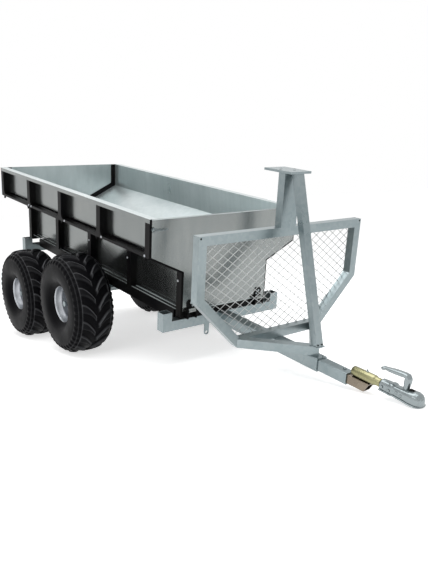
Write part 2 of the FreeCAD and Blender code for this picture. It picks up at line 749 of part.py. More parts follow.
def bogie_beam(name, side):
    """Walking beam with a stub spindle at each end."""
    inner = "%d * (beam_offset - bogie_width / 2)" % side
    outer = "%d * (beam_offset + bogie_width / 2)" % side
    reach_out = "axle_spacing / 2 + bogie_end / 2"
    profile = [("-(%s)" % reach_out, "-bogie_end / 2"), ("-bogie_height", "-bogie_height / 2"),
               ("bogie_height", "-bogie_height / 2"), (reach_out, "-bogie_end / 2"), (reach_out, "bogie_end / 2"),
               ("bogie_height", "bogie_height / 2"), ("-bogie_height", "bogie_height / 2"),
               ("-(%s)" % reach_out, "bogie_end / 2")]
    start = "-1 * (%s)" % (outer if side > 0 else inner)
    beam = prism(name + "_beam", "XZ_Plane", [profile], start, "bogie_width")
    hole = rod(name + "_hole", "0", "0", "-2 * beam_offset", "pivot_size", "4 * beam_offset")
    bored = cut(name + "_bored", beam, hole)
    spindles = []
    for word, sign in WHEELS.items():
        length = "wheel_offset + hub_length / 2 - (beam_offset + bogie_width / 2) + 12"
        begin = outer if side > 0 else "%s - (%s)" % (outer, length)
        spindles.append(rod("%s_spindle_%s" % (name, word), "%d * axle_spacing / 2" % sign, "0", begin,
                            "spindle_size", length))
    return fused(name, [bored] + spindles)


for word, side in (("left", 1), ("right", -1)):
    keep(bogie_beam("bogie_beam_" + word, side), "bogie_beam_" + word, parked=False)


def turned(name, role, loops, side):
    """A body turned about Y from half-profiles of radius against distance along Y."""
    body = new_body(name)
    sketch = outline(body, name + "_profile", role, loops)
    turning = body.newObject("PartDesign::Revolution", name + "_turning")
    turning.Profile = sketch
    turning.ReferenceAxis = (sketch, ["V_Axis"])
    turning.Angle = 360
    doc.recompute()
    return body


def tyre_profile(side):
    """Closed outline of the tyre's casing, as radius against distance out from the wheel's centre."""
    crown = "tyre_size / 2"
    seat = "rim_seat / 2"
    half = "tyre_width / 2"
    points = [(seat, "rim_width / 2 - rim_wall - 1"), ("rim_flange / 2", "rim_width / 2 - rim_wall"),
              ("rim_flange / 2 + 3", "rim_width / 2"),
              ("rim_flange / 2 + 30", half + " - 8"), ("rim_flange / 2 + 70", half),
              (crown + " - 50", half), (crown + " - 18", half + " - 8"), (crown + " - 4", half + " - 24"),
              (crown, half + " - 44")]
    inner = [(crown + " - tyre_wall", half + " - 48"), (crown + " - 50", half + " - tyre_wall"),
             ("rim_flange / 2 + 60", half + " - tyre_wall"), (seat, "rim_width / 2 - tyre_wall")]
    right = points
    left = [(a, "-(%s)" % b) for a, b in points[::-1]]
    hollow = [(a, "-(%s)" % b) for a, b in inner[::-1]] + inner
    loop = right + left + hollow
    return [loop]


def rim_profile():
    """Barrel, flanges, dished centre and hub of the wheel, as radius against distance outward."""
    seat = "rim_seat / 2"
    half = "rim_width / 2"
    bore_radius = "spindle_size / 2 + running_gap"
    return [[(bore_radius, "-hub_length / 2"), ("hub_size / 2", "-hub_length / 2"), ("hub_size / 2", "-12"),
             (seat + " - 12", "-12"), (seat + " - 3 * rim_wall", "-%s + 6" % half), (seat + " - rim_wall", "-" + half),
             ("rim_flange / 2", "-" + half), ("rim_flange / 2", "-%s + rim_wall" % half),
             (seat, "-%s + rim_wall + 1" % half), (seat, "%s - rim_wall - 1" % half),
             ("rim_flange / 2", "%s - rim_wall" % half), ("rim_flange / 2", half), (seat + " - rim_wall", half),
             (seat + " - 3 * rim_wall", half + " - 6"), (seat + " - 12", "-12 + rim_wall * 2"),
             ("hub_size / 2", "-12 + rim_wall * 2"), ("hub_size / 2", "hub_length / 2"),
             (bore_radius, "hub_length / 2")]]


def mirrored(loops, side):
    return [[(a, "%d * (%s)" % (side, b)) for a, b in loop] for loop in loops]


wheels = []
for end, sign in WHEELS.items():
    for word, side in (("left", 1), ("right", -1)):
        label = "%s_%s" % (end, word)
        tyre = turned("tyre_" + label, "XY_Plane", mirrored(tyre_profile(side), side), side)
        rim = turned("rim_" + label, "XY_Plane", mirrored(rim_profile(), side), side)
        for piece, kind in ((tyre, "tyre_"), (rim, "rim_")):
            keep(piece, kind + label, parked=False)
            wheels.append((piece, sign, side))

doc.recompute()

# ---- park it: lean the frame, set the wheels on the ground, centre the length on the origin ----

spin = FreeCAD.Rotation(FreeCAD.Vector(0, 1, 0), PITCH)
pivot = FreeCAD.Vector(-number("pivot_back"), 0, -number("pivot_drop"))
nose = spin.multVec(FreeCAD.Vector(number("ball_ahead"), 0, number("swivel_height")) - pivot)
front_reach = nose.x + number("ball_size / 2 + dome_wall")
back_corner = FreeCAD.Vector(number(TAIL_HINGE_X + " - gate_pin / 2 - 4"), 0, number("subframe_bottom"))
rear_reach = spin.multVec(back_corner - pivot).x
middle = FreeCAD.Vector((front_reach + rear_reach) / 2, 0, 0)
hub_spot = FreeCAD.Vector(0, 0, wheel_radius) - middle


def park(piece, spot):
    """Lean a piece by the parking angle about the bogie pivot, on top of its own placement."""
    lean = FreeCAD.Placement(spot, spin, FreeCAD.Vector()).multiply(FreeCAD.Placement(-pivot, FreeCAD.Rotation()))
    piece.Placement = lean.multiply(piece.Placement)


for piece in leaning:
    for path, _ in list(piece.ExpressionEngine):
        if path.lstrip(".").startswith("Placement"):
            piece.setExpression(path, None)
    park(piece, hub_spot)
for piece in nodes:
    if piece.Label.startswith("bogie_beam"):
        piece.Placement = FreeCAD.Placement(hub_spot, FreeCAD.Rotation())
for piece, sign, side in wheels:
    spot = FreeCAD.Vector(sign * number("axle_spacing") / 2, side * number("wheel_offset"), 0)
    piece.Placement = FreeCAD.Placement(hub_spot + spot, FreeCAD.Rotation())
doc.recompute()

for thing in doc.Objects:
    if "Invalid" in thing.State or "Error" in thing.State:
        raise RuntimeError("%s did not compute: %s" % (thing.Name, thing.State))
for piece in nodes:
    if piece.Shape.isNull() or not piece.Shape.isValid():
        raise RuntimeError("%s has no valid shape" % piece.Label)

os.makedirs("parts", exist_ok=True)
for piece in nodes:
    piece.Shape.exportStep("parts/%s.step" % piece.Label)
print("pitch %.4f degrees, hub spot %s, %d nodes" % (PITCH, tuple(round(v, 4) for v in hub_spot), len(nodes)))
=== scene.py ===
import json
import math

import bmesh
import bpy
import numpy as np
from mathutils import Matrix, Vector


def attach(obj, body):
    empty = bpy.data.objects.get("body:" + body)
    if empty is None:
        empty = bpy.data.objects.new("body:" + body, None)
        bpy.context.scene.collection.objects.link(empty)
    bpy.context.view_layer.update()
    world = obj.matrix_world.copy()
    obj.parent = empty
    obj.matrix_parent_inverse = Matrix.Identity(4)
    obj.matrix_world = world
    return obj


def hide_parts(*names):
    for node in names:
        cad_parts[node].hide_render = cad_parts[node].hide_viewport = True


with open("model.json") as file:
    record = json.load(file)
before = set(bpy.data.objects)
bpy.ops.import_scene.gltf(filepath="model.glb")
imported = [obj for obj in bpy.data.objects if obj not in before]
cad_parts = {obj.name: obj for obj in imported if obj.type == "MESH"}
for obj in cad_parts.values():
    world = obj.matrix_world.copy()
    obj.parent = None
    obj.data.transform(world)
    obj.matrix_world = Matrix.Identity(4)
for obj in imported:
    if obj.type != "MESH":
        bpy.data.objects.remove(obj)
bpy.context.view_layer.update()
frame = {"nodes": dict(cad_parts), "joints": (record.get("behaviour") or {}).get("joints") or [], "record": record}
joints = {joint["name"]: joint for joint in frame["joints"]}

# The chassis leans nose down. Its own level frame is in millimetres: X forward from the
# box's front plane, Y left, Z up from the drawbar's top; settle() leans and sets it down.
swivelAxis = joints["coupling_swivel"]["axis"]
leanAngle = math.atan2(-swivelAxis[2], swivelAxis[0])
hubFront = np.array(joints["front_right_wheel_spin"]["pos_m"])
hubRear = np.array(joints["rear_right_wheel_spin"]["pos_m"])
bogieSpot = np.array([(hubFront[0] + hubRear[0]) / 2, 0.0, hubFront[2]])
bogiePivot = np.array([-1091.0, 0.0, -167.0])


# Level-frame millimetres to metres on the ground: p' = R_y(lean) (p - pivot) / 1000 + hub.
def settle(points):
    local = (np.asarray(points, float) - bogiePivot) / 1000.0
    c, s = math.cos(leanAngle), math.sin(leanAngle)
    x = local[..., 0] * c + local[..., 2] * s
    z = -local[..., 0] * s + local[..., 2] * c
    return np.stack([x, local[..., 1], z], axis=-1) + bogieSpot


# One object at the origin from world points and polygons, its closed surfaces turned outward.
def meshPiece(name, verts, faces, material, body, smooth=True):
    mesh = bpy.data.meshes.new(name)
    mesh.from_pydata(np.asarray(verts, float).tolist(), [], [list(f) for f in faces])
    shell = bmesh.new()
    shell.from_mesh(mesh)
    bmesh.ops.recalc_face_normals(shell, faces=shell.faces)
    shell.to_mesh(mesh)
    shell.free()
    mesh.update()
    mesh.polygons.foreach_set("use_smooth", [smooth] * len(mesh.polygons))
    mesh.materials.append(material)
    piece = bpy.data.objects.new(name, mesh)
    bpy.context.scene.collection.objects.link(piece)
    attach(piece, body)
    return piece


# Quads of a rows x cols grid of points, joined round where it wraps.
def gridFaces(rows, cols, wrapRows=False, wrapCols=False):
    rowSpan = np.arange(rows if wrapRows else rows - 1)
    colSpan = np.arange(cols if wrapCols else cols - 1)
    i, j = np.meshgrid(rowSpan, colSpan, indexing="ij")
    nextI, nextJ = (i + 1) % rows, (j + 1) % cols
    quads = np.stack([i * cols + j, nextI * cols + j, nextI * cols + nextJ, i * cols + nextJ], axis=-1)
    return quads.reshape(-1, 4)


# Points and faces gathered from several surfaces into one mesh.
class Heap:
    def __init__(self):
        self.points, self.faces, self.count = [], [], 0

    def add(self, points, faces):
        points = np.asarray(points, float).reshape(-1, 3)
        self.points.append(points)
        self.faces.extend((np.asarray(f) + self.count).tolist() for f in faces)
        self.count += len(points)

    def verts(self):
        return np.concatenate(self.points)


# Revolves (radius, along) about Y: p = (r sin t, y, r cos t), one ring per profile point.
def turnedSurface(profile, steps, closed=True):
    t = np.linspace(0, 2 * math.pi, steps, endpoint=False)
    r, y = profile[:, 0][:, None], profile[:, 1][:, None]
    points = np.stack([r * np.sin(t), y + 0 * t, r * np.cos(t)], axis=-1)
    return points, gridFaces(len(profile), steps, wrapRows=closed, wrapCols=True)


# The two polygons that close a run of rings, as vertex numbers.
def endCaps(rings, sides):
    last = (rings - 1) * sides
    return [list(range(sides)), list(range(last, last + sides))]


# A round tube along a path: p(i, a) = path_i + r (n_i cos a + b_i sin a). The guide is the
# direction in which the path is flattest, so n_i never turns over along a flat loop.
def sweep(path, radius, sides=10, closed=False):
    path = np.asarray(path, float)
    ahead = np.roll(path, -1, axis=0) if closed else np.vstack([path[1:], 2 * path[-1] - path[-2]])
    behind = np.roll(path, 1, axis=0) if closed else np.vstack([2 * path[0] - path[1], path[:-1]])
    tangent = ahead - behind
    tangent /= np.linalg.norm(tangent, axis=1)[:, None]
    guide = np.linalg.svd(path - path.mean(axis=0))[2][-1]
    normal = np.cross(tangent, guide)
    normal /= np.linalg.norm(normal, axis=1)[:, None]
    binormal = np.cross(tangent, normal)
    a = np.linspace(0, 2 * math.pi, sides, endpoint=False)
    radius = np.broadcast_to(np.asarray(radius, float), (len(path),))[:, None, None]
    ring = np.cos(a)[None, :, None] * normal[:, None] + np.sin(a)[None, :, None] * binormal[:, None]
    points = (path[:, None] + radius * ring).reshape(-1, 3)
    faces = gridFaces(len(path), sides, wrapRows=closed, wrapCols=True).tolist()
    return points, faces if closed else faces + endCaps(len(path), sides)


# An empty shader group with float inputs (name: default) and named outputs.
def newGroup(name, inputs, outputs):
    group = bpy.data.node_groups.new(name, "ShaderNodeTree")
    for title, default in inputs.items():
        socket = group.interface.new_socket(title, in_out="INPUT", socket_type="NodeSocketFloat")
        socket.default_value = default
    for title in outputs:
        group.interface.new_socket(title, in_out="OUTPUT", socket_type="NodeSocketFloat")
    return group, group.nodes.new("NodeGroupInput"), group.nodes.new("NodeGroupOutput")


# A noise factor of 0 to 1, its scale a number or a socket.
def noiseNode(tree, coords, scale, detail=4.0, rough=0.55):
    node = tree.nodes.new("ShaderNodeTexNoise")
    node.inputs["Detail"].default_value = detail
    node.inputs["Roughness"].default_value = rough
    tree.links.new(coords, node.inputs["Vector"])
    if isinstance(scale, (int, float)):
        node.inputs["Scale"].default_value = scale
    else:
        tree.links.new(scale, node.inputs["Scale"])
    return node.outputs["Fac"]


# One math step on two values, each a number or a socket.
def mathNode(tree, kind, first, second):
    node = tree.nodes.new("ShaderNodeMath")
    node.operation = kind
    for socket, value in zip(node.inputs, (first, second)):
        if isinstance(value, (int, float)):
            socket.default_value = value
        else:
            tree.links.new(value, socket)
    return node.outputs[0]


# Stretches low..high to 0..1 and clamps it.
def spread(tree, value, low, high):
    node = tree.nodes.new("ShaderNodeMapRange")
    node.inputs["From Min"].default_value = low
    node.inputs["From Max"].default_value = high
    tree.links.new(value, node.inputs["Value"])
    return node.outputs["Result"]


# Zinc crystals: cells of flat tone, a soft cloud, fine grain, and rolling streaks down the sheet.
def buildSpangle():
    group, gin, gout = newGroup("zincSpangle", {"Scale": 40.0}, ["Cells", "Cloud", "Streaks", "Height"])
    coords = group.nodes.new("ShaderNodeTexCoord").outputs["Object"]
    cells = group.nodes.new("ShaderNodeTexVoronoi")
    group.links.new(coords, cells.inputs["Vector"])
    group.links.new(gin.outputs["Scale"], cells.inputs["Scale"])
    tone = group.nodes.new("ShaderNodeSeparateColor")
    group.links.new(cells.outputs["Color"], tone.inputs["Color"])
    cloud = noiseNode(group, coords, 2.2, 3.0)
    fine = noiseNode(group, coords, 120.0, 2.0)
    stretch = group.nodes.new("ShaderNodeMapping")
    stretch.inputs["Scale"].default_value = (34.0, 34.0, 1.6)
    group.links.new(coords, stretch.inputs["Vector"])
    streaks = noiseNode(group, stretch.outputs["Vector"], 1.0, 3.0)
    group.links.new(tone.outputs["Red"], gout.inputs["Cells"])
    group.links.new(spread(group, cloud, 0.3, 0.7), gout.inputs["Cloud"])
    group.links.new(spread(group, streaks, 0.3, 0.7), gout.inputs["Streaks"])
    group.links.new(fine, gout.inputs["Height"])
    return group


# Patchy dust and handling marks at two sizes.
def buildGrime():
    group, gin, gout = newGroup("softGrime", {"Scale": 6.0}, ["Patches", "Grain"])
    coords = group.nodes.new("ShaderNodeTexCoord").outputs["Object"]
    patches = noiseNode(group, coords, gin.outputs["Scale"], 6.0, 0.6)
    grain = noiseNode(group, coords, 420.0, 2.0)
    group.links.new(spread(group, patches, 0.38, 0.72), gout.inputs["Patches"])
    group.links.new(grain, gout.inputs["Grain"])
    return group


spangleGroup = buildSpangle()
grimeGroup = buildGrime()
print("shader groups built")


# A Principled material with its constants on the shader's own sockets.
def newMaterial(name, metallic, specular=0.5):
    material = bpy.data.materials.new(name)
    material.use_nodes = True
    shader = material.node_tree.nodes["Principled BSDF"]
    shader.inputs["Metallic"].default_value = metallic
    shader.inputs["Specular IOR Level"].default_value = specular
    return material, material.node_tree, shader


# One use of a shared group with its own input values.
def placeGroup(tree, group, **values):
    node = tree.nodes.new("ShaderNodeGroup")
    node.node_tree = group
    for title, value in values.items():
        node.inputs[title].default_value = value
    return node


# first + factor * (second - first), each colour a tuple or a socket.
def blendColours(tree, factor, first, second):
    node = tree.nodes.new("ShaderNodeMix")
    node.data_type = "RGBA"
    tree.links.new(factor, node.inputs["Factor"])
    for socket, value in ((node.inputs[6], first), (node.inputs[7], second)):
        if isinstance(value, tuple):
            socket.default_value = (*value, 1.0)
        else:
            tree.links.new(value, socket)
    return node.outputs[2]


# Fine relief from a height value.
def bumpFrom(tree, shader, height, strength, distance):
    bump = tree.nodes.new("ShaderNodeBump")
    bump.inputs["Strength"].default_value = strength
    bump.inputs["Distance"].default_value = distance
    tree.links.new(height, bump.inputs["Height"])
    tree.links.new(bump.outputs["Normal"], shader.inputs["Normal"])


# Galvanised steel: two greys by crystal and cloud, roughness following the cloud.
def zincMaterial(name, look):
    material, tree, shader = newMaterial(name, look["metallic"])
    spangle = placeGroup(tree, spangleGroup, Scale=look["crystal"])
    mixed = mathNode(tree, "MULTIPLY", spangle.outputs["Cells"], look["cellShare"])
    mixed = mathNode(tree, "ADD", mixed, mathNode(tree, "MULTIPLY", spangle.outputs["Cloud"], look["cloudShare"]))
    streaks = mathNode(tree, "MULTIPLY", spangle.outputs["Streaks"], look.get("streakShare", 0.0))
    mixed = mathNode(tree, "ADD", mixed, streaks)
    tree.links.new(blendColours(tree, mixed, look["dark"], look["light"]), shader.inputs["Base Color"])
    rough = mathNode(tree, "MULTIPLY_ADD", mixed, look["roughSpread"])
    rough.node.inputs[2].default_value = look["rough"]
    tree.links.new(rough, shader.inputs["Roughness"])
    bumpFrom(tree, shader, spangle.outputs["Height"], look["bump"], 0.0004)
    return material


# Paint: a base tone lifted by dust patches, with orange-peel grain.
def paintMaterial(name, look):
    material, tree, shader = newMaterial(name, look.get("metallic", 0.0), look.get("specular", 0.5))
    grime = placeGroup(tree, grimeGroup, Scale=look["patch"])
    dust = mathNode(tree, "MULTIPLY", grime.outputs["Patches"], look["dust"])
    tree.links.new(blendColours(tree, dust, look["colour"], look["dusty"]), shader.inputs["Base Color"])
    rough = mathNode(tree, "MULTIPLY_ADD", grime.outputs["Patches"], look["roughSpread"])
    rough.node.inputs[2].default_value = look["rough"]
    tree.links.new(rough, shader.inputs["Roughness"])
    bumpFrom(tree, shader, grime.outputs["Grain"], look["bump"], look.get("grain", 0.0003))
    # Optional painted highlight: a lighter colour laid over the base where the mesh's per-point highlight attribute
    # is high.
    if "glint" in look:
        edge = tree.nodes.new("ShaderNodeAttribute")
        edge.attribute_name = "glintEdge"
        under = shader.inputs["Base Color"].links[0].from_socket
        tree.links.new(blendColours(tree, edge.outputs["Fac"], under, look["glint"]), shader.inputs["Base Color"])
    return material


# Galvanised sheet in two copies of one zinc: the first, darker, is painted shade for faces that look out or down; the
# second, lighter, is painted light for faces that look in or up.
sheetZinc = zincMaterial("sheetZinc", dict(
    dark=(0.215, 0.235, 0.235), light=(0.300, 0.312, 0.302), metallic=0.93, crystal=34.0,
    cellShare=0.06, cloudShare=0.5, streakShare=0.35, rough=0.15, roughSpread=0.08, bump=0.004))
litSheetZinc = zincMaterial("litSheetZinc", dict(
    dark=(0.47, 0.53, 0.535), light=(0.66, 0.71, 0.715), metallic=0.8, crystal=34.0,
    cellShare=0.10, cloudShare=0.5, streakShare=0.3, rough=0.26, roughSpread=0.10, bump=0.012))
tubeZinc = zincMaterial("tubeZinc", dict(
    dark=(0.205, 0.255, 0.268), light=(0.345, 0.390, 0.400), metallic=0.85, crystal=60.0,
    cellShare=0.25, cloudShare=0.6, rough=0.26, roughSpread=0.12, bump=0.06))
brightZinc = zincMaterial("brightZinc", dict(
    dark=(0.22, 0.255, 0.265), light=(0.36, 0.395, 0.40), metallic=0.9, crystal=90.0,
    cellShare=0.12, cloudShare=0.5, rough=0.24, roughSpread=0.08, bump=0.01))
yellowZinc = zincMaterial("yellowZinc", dict(
    dark=(0.17, 0.165, 0.06), light=(0.44, 0.42, 0.27), metallic=0.9, crystal=26.0,
    cellShare=0.2, cloudShare=0.7, rough=0.22, roughSpread=0.12, bump=0.02))
stubZinc = zincMaterial("stubZinc", dict(
    dark=(0.165, 0.135, 0.105), light=(0.30, 0.26, 0.205), metallic=0.9, crystal=26.0,
    cellShare=0.2, cloudShare=0.6, rough=0.22, roughSpread=0.12, bump=0.02))
wireZinc = zincMaterial("wireZinc", dict(
    dark=(0.52, 0.54, 0.54), light=(0.70, 0.715, 0.71), metallic=0.5, crystal=90.0,
    cellShare=0.12, cloudShare=0.5, rough=0.34, roughSpread=0.10, bump=0.02))
blackPaint = paintMaterial("blackPaint", dict(
    colour=(0.004, 0.004, 0.005), dusty=(0.010, 0.009, 0.007), patch=5.0, dust=0.5, specular=0.07,
    rough=0.28, roughSpread=0.16, bump=0.04))
rimSilver = paintMaterial("rimSilver", dict(
    colour=(0.44, 0.46, 0.49), dusty=(0.36, 0.375, 0.39), patch=3.0, dust=0.4, metallic=0.85,
    rough=0.30, roughSpread=0.05, bump=0.004))
# Tyre rubber; its last colour is a painted highlight for lug edges, lug tips and sidewall ridges.
tyreRubber = paintMaterial("tyreRubber", dict(
    colour=(0.0030, 0.0030, 0.0040), dusty=(0.0075, 0.0075, 0.0085), patch=9.0, dust=0.6, specular=0.05,
    rough=0.36, roughSpread=0.2, bump=0.2, grain=0.0006, glint=(0.115, 0.118, 0.125)))
padRubber = paintMaterial("padRubber", dict(
    colour=(0.004, 0.004, 0.004), dusty=(0.010, 0.010, 0.010), patch=9.0, dust=0.6, specular=0.1,
    rough=0.5, roughSpread=0.2, bump=0.2))
# Near-black for discs and plates that stand in for holes: painted shade.
boreShade = paintMaterial("boreShade", dict(
    colour=(0.006, 0.006, 0.006), dusty=(0.015, 0.015, 0.014), patch=9.0, dust=0.4, specular=0.1,
    rough=0.7, roughSpread=0.2, bump=0.05))

slotMaterials = {"galvanised": tubeZinc, "black_paint": blackPaint, "tyre_rubber": tyreRubber,
                 "wheel_silver": rimSilver, "yellow_zinc": yellowZinc, "bright_zinc": brightZinc,
                 "pad_rubber": padRubber}
sheetNodes = {"side_sheet_left", "side_sheet_right", "floor_sheet", "front_gate", "tailgate"}
for part in frame["record"]["subparts"]:
    node = frame["nodes"][part["node"]]
    node.data.materials.clear()
    finish = sheetZinc if part["node"] in sheetNodes else slotMaterials[part["material_slot"]]
    finish = stubZinc if part["node"] == "coupling_stub" else finish
    node.data.materials.append(finish)


# Painted light on the box: a face takes the lighter copy of the sheet zinc where its normal looks in or up, the rest
# keeps the darker copy.
def paintLitFaces(node, inward):
    mesh = frame["nodes"][node].data
    mesh.materials.append(litSheetZinc)
    normals = np.zeros(len(mesh.polygons) * 3, np.float32)
    mesh.polygons.foreach_get("normal", normals)
    facing = normals.reshape(-1, 3) @ np.array(inward)
    mesh.polygons.foreach_set("material_index", (facing > 0.2).astype(np.int32))


paintLitFaces("side_sheet_left", (0.0, -1.0, 0.6))
paintLitFaces("side_sheet_right", (0.0, 1.0, 0.6))
paintLitFaces("floor_sheet", (0.0, 0.0, 1.0))
paintLitFaces("tailgate", (1.0, 0.0, 0.0))
paintLitFaces("front_gate", (-1.0, 0.0, 0.0))
print("CAD nodes finished:", len(frame["nodes"]))


tyreSizes = dict(outer=279.5, bead=102.0, halfWidth=120.0, rimHalf=89.0, around=640, lugDepth=13.0,
                 lugs=18, treadHalf=80.0, pits=42, sweepBack=0.80, lugShare=0.15)


# Smooth ramp: t * t * (3 - 2 t) with t running 0 to 1 from low to high.
def smoothStep(value, low, high):
    t = np.clip((value - low) / (high - low), 0, 1)
    return t * t * (3 - 2 * t)


# Casing outline from outer bead over the crown to the inner bead, as radius and offset.
# Points stand closer together over the tread than down the sidewalls.
def tyreSection():
    w, top = tyreSizes["halfWidth"], tyreSizes["outer"] - tyreSizes["lugDepth"]
    knots = np.array([[tyreSizes["bead"], tyreSizes["rimHalf"] - 4], [114, tyreSizes["rimHalf"] + 3],
                      [122, w - 18], [145, w - 5], [180, w - 1.5], [212, w - 3], [228, w - 7], [240, w - 14],
                      [250, w - 25], [258, w - 38], [top - 3.5, w - 58], [top - 1, w - 85], [top, 0]])
    knots = np.vstack([knots, knots[-2::-1] * [1, -1]])
    run = np.concatenate([[0], np.cumsum(np.hypot(*np.diff(knots, axis=0).T))])
    middle = run[-1] / 2
    share = np.linspace(-1, 1, 121)
    fine = middle + middle * (0.62 * share + 0.38 * share ** 3)
    outline = np.stack([np.interp(fine, run, knots[:, 0]), np.interp(fine, run, knots[:, 1])], axis=1)
    for _ in range(6):
        outline[1:-1] = (outline[:-2] + 2 * outline[1:-1] + outline[2:]) / 4
    return outline


# Lug height and painted highlight share, both 0..1; the highlight is painted on lug edges, tips, tops and shoulder
# lips. Each bar leaves the shoulder straight and bends forward to
# the middle: phase = turn * lugs - sweepBack * (1 - reach)^1.7, the far side half a pitch on.
def treadHeight(turn, across):
    side = np.where(across >= 0, 0.0, 0.5)
    span = np.abs(across)
    reach = span / tyreSizes["treadHalf"]
    bend = tyreSizes["sweepBack"] * np.clip(1 - reach, 0, 1) ** 1.7
    phase = (turn / (2 * math.pi) * tyreSizes["lugs"] + side - bend) % 1.0
    off = np.abs(phase - 0.5)
    half = tyreSizes["lugShare"] + 0.10 * smoothStep(reach, 0.2, 1.0)
    along = smoothStep(reach, 0.05, 0.13) * (1 - smoothStep(span, 78, 82))
    bar = (1 - smoothStep(off, half - 0.03, half + 0.035)) * along
    land = smoothStep(span, 79.0, 81.0) * (1 - smoothStep(span, 115, 117))
    pitPhase = np.abs((turn / (2 * math.pi) * tyreSizes["pits"]) % 1.0 - 0.5)
    pit = 1 - smoothStep(pitPhase, 0.24, 0.30)
    rowA = smoothStep(span, 83, 84.5) * (1 - smoothStep(span, 94, 95.5))
    rowB = smoothStep(span, 99, 100.5) * (1 - smoothStep(span, 110.5, 112))
    shoulder = land * (0.46 - 0.44 * pit * np.maximum(rowA, rowB))
    # Painted highlight: bands along each lug's edges, full on the leading edge and a quarter on the trailing one,
    # plus the lug tips, a trace on the lug tops and the shoulder lips.
    rim = smoothStep(off, half - 0.12, half - 0.07) * (1 - smoothStep(off, half - 0.01, half + 0.03))
    rim = rim * (phase < 0.5) + 0.25 * rim * (phase >= 0.5)
    tip = smoothStep(reach, 0.07, 0.12) * (1 - smoothStep(reach, 0.16, 0.22)) * (off < half)
    glint = np.maximum(rim * (1 - 0.5 * smoothStep(reach, 0.35, 0.95)), 0.6 * tip) + 0.05 * (off < half - 0.1)
    lip = np.exp(-((span - 81.0) / 1.6) ** 2) + 0.6 * np.exp(-((span - 97.2) / 1.3) ** 2)
    glint = np.maximum(glint * along, 0.75 * lip)
    return np.maximum(bar * (1 - 0.25 * smoothStep(span, 66, 82)), shoulder), np.clip(glint, 0, 1)


# The casing lifted along its normal by height * lugDepth, and closed by a lining at the bead.
def tyrePiece(name, body, hub, side, node):
    outline = tyreSection()
    turn = np.linspace(0, 2 * math.pi, tyreSizes["around"], endpoint=False)
    rise, run = np.gradient(outline[:, 0]), np.gradient(outline[:, 1])
    length = np.hypot(rise, run)
    normal = np.stack([-run / length, rise / length], axis=1)
    height, glint = treadHeight(turn[None, :], outline[:, 1][:, None])
    crown = smoothStep(outline[:, 0], 222, 236)[:, None]
    lines = sum(depth * np.exp(-((outline[:, 0] - place) / 1.5) ** 2)
                for place, depth in ((227.0, 2.2), (204.0, 0.9), (132.0, 1.6)))
    lift = height * crown * tyreSizes["lugDepth"] + lines[:, None]
    # The sidewall ridges also take the painted highlight.
    ring = np.clip(lines - 0.8, 0, 1)[:, None] * smoothStep(outline[:, :1], 215, 225)
    glint = np.maximum(glint * crown, 0.7 * ring)
    r = np.minimum(outline[:, :1] + lift * normal[:, :1], tyreSizes["outer"] - 0.02)
    y = np.clip(outline[:, 1:] + lift * normal[:, 1:], 0.02 - tyreSizes["halfWidth"], tyreSizes["halfWidth"] - 0.02)
    points = np.stack([r * np.sin(turn), y * side, r * np.cos(turn)], axis=-1)
    lining = np.array([[tyreSizes["bead"], -70.0], [tyreSizes["bead"], 70.0]])
    inner = np.stack([lining[:, :1] * np.sin(turn), lining[:, 1:] * side + 0 * turn,
                      lining[:, :1] * np.cos(turn)], axis=-1)
    points = np.concatenate([points, inner])
    faces = gridFaces(len(points), len(turn), wrapRows=True, wrapCols=True)
    piece = meshPiece(name, points.reshape(-1, 3) / 1000 + hub, faces, tyreRubber, body)
    # Painted highlight per point, laid on as a lighter grey by the tyre rubber.
    attribute = piece.data.attributes.new("glintEdge", "FLOAT", "POINT")
    glint = np.concatenate([glint, np.zeros((2, len(turn)))]).ravel()
    attribute.data.foreach_set("value", glint.astype(np.float32))
    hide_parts(node)


rimSizes = dict(seat=101.0, flange=113.0, half=89.0, boltCircle=50.0)


# Outer flange, stepped barrel and dish, then back along the inside of the sheet.
def rimPiece(name, body, hub, side, node):
    f, s, h = rimSizes["flange"], rimSizes["seat"], rimSizes["half"]
    front = [(f - 2, h - 6), (f, h - 3), (f - 1, h), (f - 4, h - 1), (s - 1, h - 7), (s - 4, h - 14),
             (s - 5, h - 32), (s - 12, h - 40), (s - 14, h - 46), (s - 14, -8), (s - 17, -20), (76, -28), (68, -26),
             (60, -20), (40, -18), (32, -14), (31, -4), (28, -1), (15.4, -1)]
    back = [(15.4, -58), (30, -58), (31, -24), (58, -26), (66, -32), (76, -34), (s - 12, -h + 40), (s - 6, -h + 30),
            (s - 6, -h + 8), (f - 3, -h), (f, -h + 3), (s, -h + 9), (s, -h + 32), (s - 8, -h + 42), (s - 8, h - 46),
            (s, h - 34), (s, h - 9)]
    points, faces = turnedSurface(np.array(front + back), 96)
    heap = Heap()
    heap.add(points, faces)
    nutRing = np.array([[0.01, -6], [5.5, -6], [8.2, -9], [8.2, -20], [0.01, -20]])
    for k in range(4):
        a = math.pi / 4 + k * math.pi / 2
        nut, nutFaces = turnedSurface(nutRing, 6)
        nut = nut + np.array([rimSizes["boltCircle"] * math.sin(a), 0.0, rimSizes["boltCircle"] * math.cos(a)])
        heap.add(nut, nutFaces)
    capRing = np.array([[0.01, 5], [14, 4.5], [21, 2], [24, -2], [24, -8], [0.01, -8]])
    heap.add(*turnedSurface(capRing, 32))
    valve, valveFaces = turnedSurface(np.array([[0.01, 34], [3, 33], [4, 10], [5, -24], [0.01, -24]]), 12)
    heap.add(valve + np.array([0, 0, s - 24]), valveFaces)
    verts = heap.verts() * np.array([1, side, 1])
    piece = meshPiece(name, verts / 1000 + hub, heap.faces, rimSilver, body)
    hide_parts(node)


